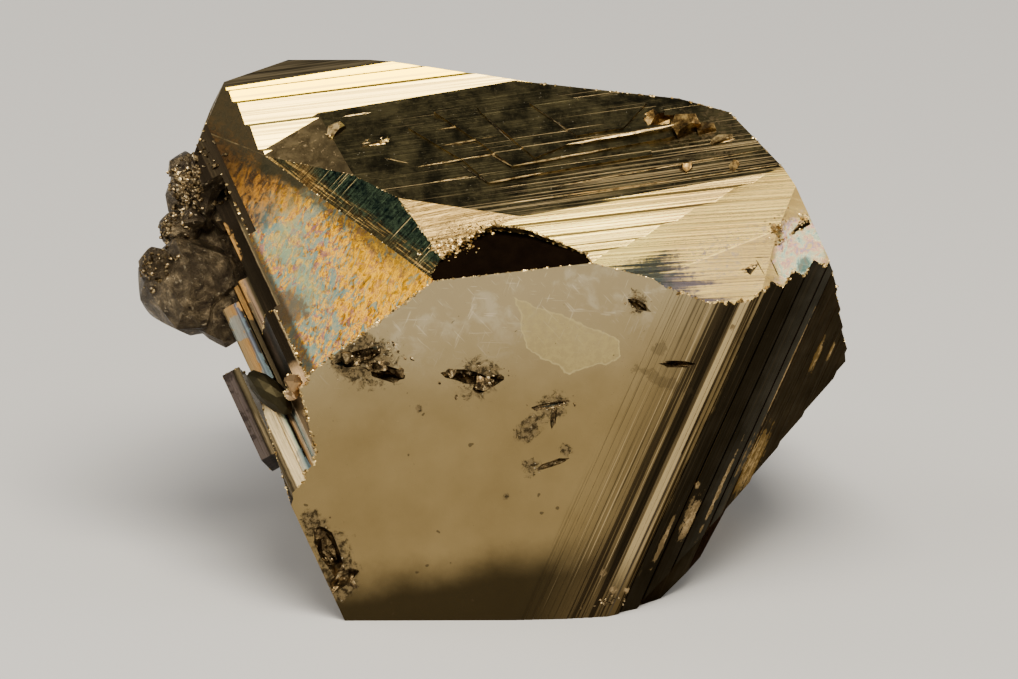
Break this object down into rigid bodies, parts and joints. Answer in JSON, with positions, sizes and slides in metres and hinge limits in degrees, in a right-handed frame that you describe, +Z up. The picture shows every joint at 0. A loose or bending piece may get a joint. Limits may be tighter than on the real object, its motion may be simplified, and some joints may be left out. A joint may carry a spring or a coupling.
{
  "type": "pyrite crystal",
  "caption": "Pyrite crystal group with large striated faces, growth terraces and small crystals on one flank, cut flat underneath to rest.",
  "frame": {"origin": "centre of the bounding box in X and Y, on the flat base", "axes": "+Z up from the flat base; -Y towards the big front face of the picture; +X to the right of the picture"},
  "size_m": [0.0498, 0.0366, 0.0349],
  "materials": {
    "pyrite": "natural metallic crystal faces"
  },
  "bodies": {
    "root": {"crystal": "pyrite"}
  },
  "joints": []
}
